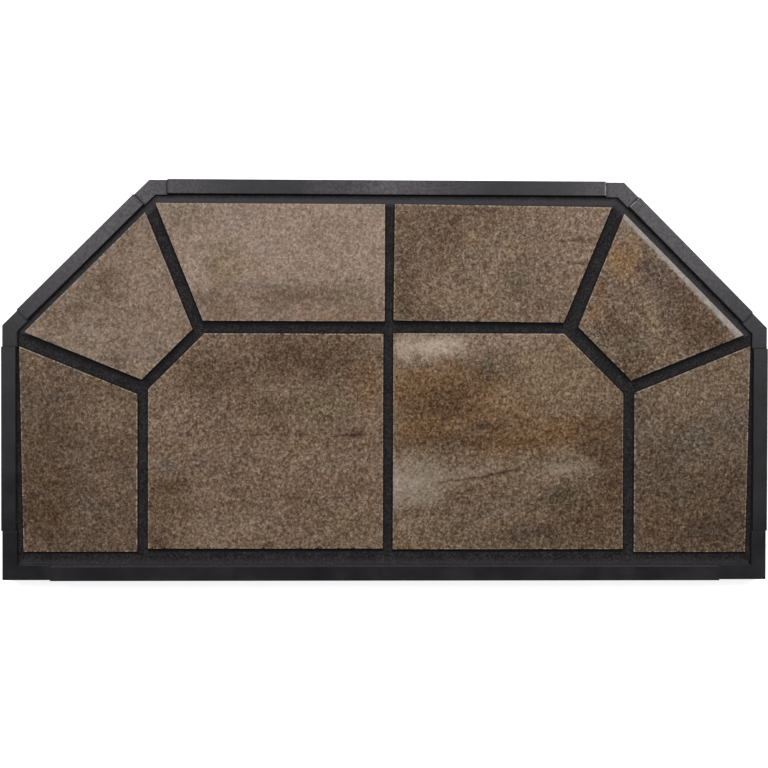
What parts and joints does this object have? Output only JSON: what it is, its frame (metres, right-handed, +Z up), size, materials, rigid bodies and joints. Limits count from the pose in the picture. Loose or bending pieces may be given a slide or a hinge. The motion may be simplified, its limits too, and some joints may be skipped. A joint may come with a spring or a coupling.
{
  "type": "hearth pad",
  "caption": "Flat floor pad for a stove or fireplace, with stone-look tiles, wide dark joints, two clipped back corners and a black steel edge trim.",
  "frame": {"origin": "on the floor plane, under the middle of the pad's bounding box", "axes": "+X to the right along the long front rail, +Y from the long front rail to the short back rail, +Z up out of the tile faces"},
  "size_m": [1.068, 0.558, 0.0305],
  "materials": {
    "plywood": "raw sanded plywood",
    "cement_board": "rough grey cement board",
    "mortar": "cured thin-set mortar",
    "grout": "sanded charcoal grout",
    "tile_taupe": "matte mottled porcelain, light taupe",
    "tile_brown": "matte mottled porcelain, rust brown",
    "tile_dark": "matte mottled porcelain, dark brown",
    "trim": "black powder coat, satin",
    "trim_corner": "black powder coat, satin",
    "screw_black": "black oxide",
    "screw_zinc": "zinc plated"
  },
  "bodies": {
    "root": {"base_board": "plywood", "cement_board": "cement_board", "mortar_bed": "mortar", "grout": "grout", "tile_top_left": "tile_taupe", "tile_top_right": "tile_brown", "tile_diagonal_left": "tile_taupe", "tile_diagonal_right": "tile_brown", "tile_side_left": "tile_dark", "tile_side_right": "tile_dark", "tile_centre_left": "tile_brown", "tile_centre_right": "tile_brown", "rail_right": "trim", "rail_clip_right": "trim", "rail_back": "trim", "rail_clip_left": "trim", "rail_left": "trim", "rail_front": "trim", "corner_front_right": "trim_corner", "corner_side_right": "trim_corner", "corner_back_right": "trim_corner", "corner_back_left": "trim_corner", "corner_side_left": "trim_corner", "corner_front_left": "trim_corner", "trim_screws": "screw_black", "board_screws": "screw_zinc"}
  },
  "joints": []
}
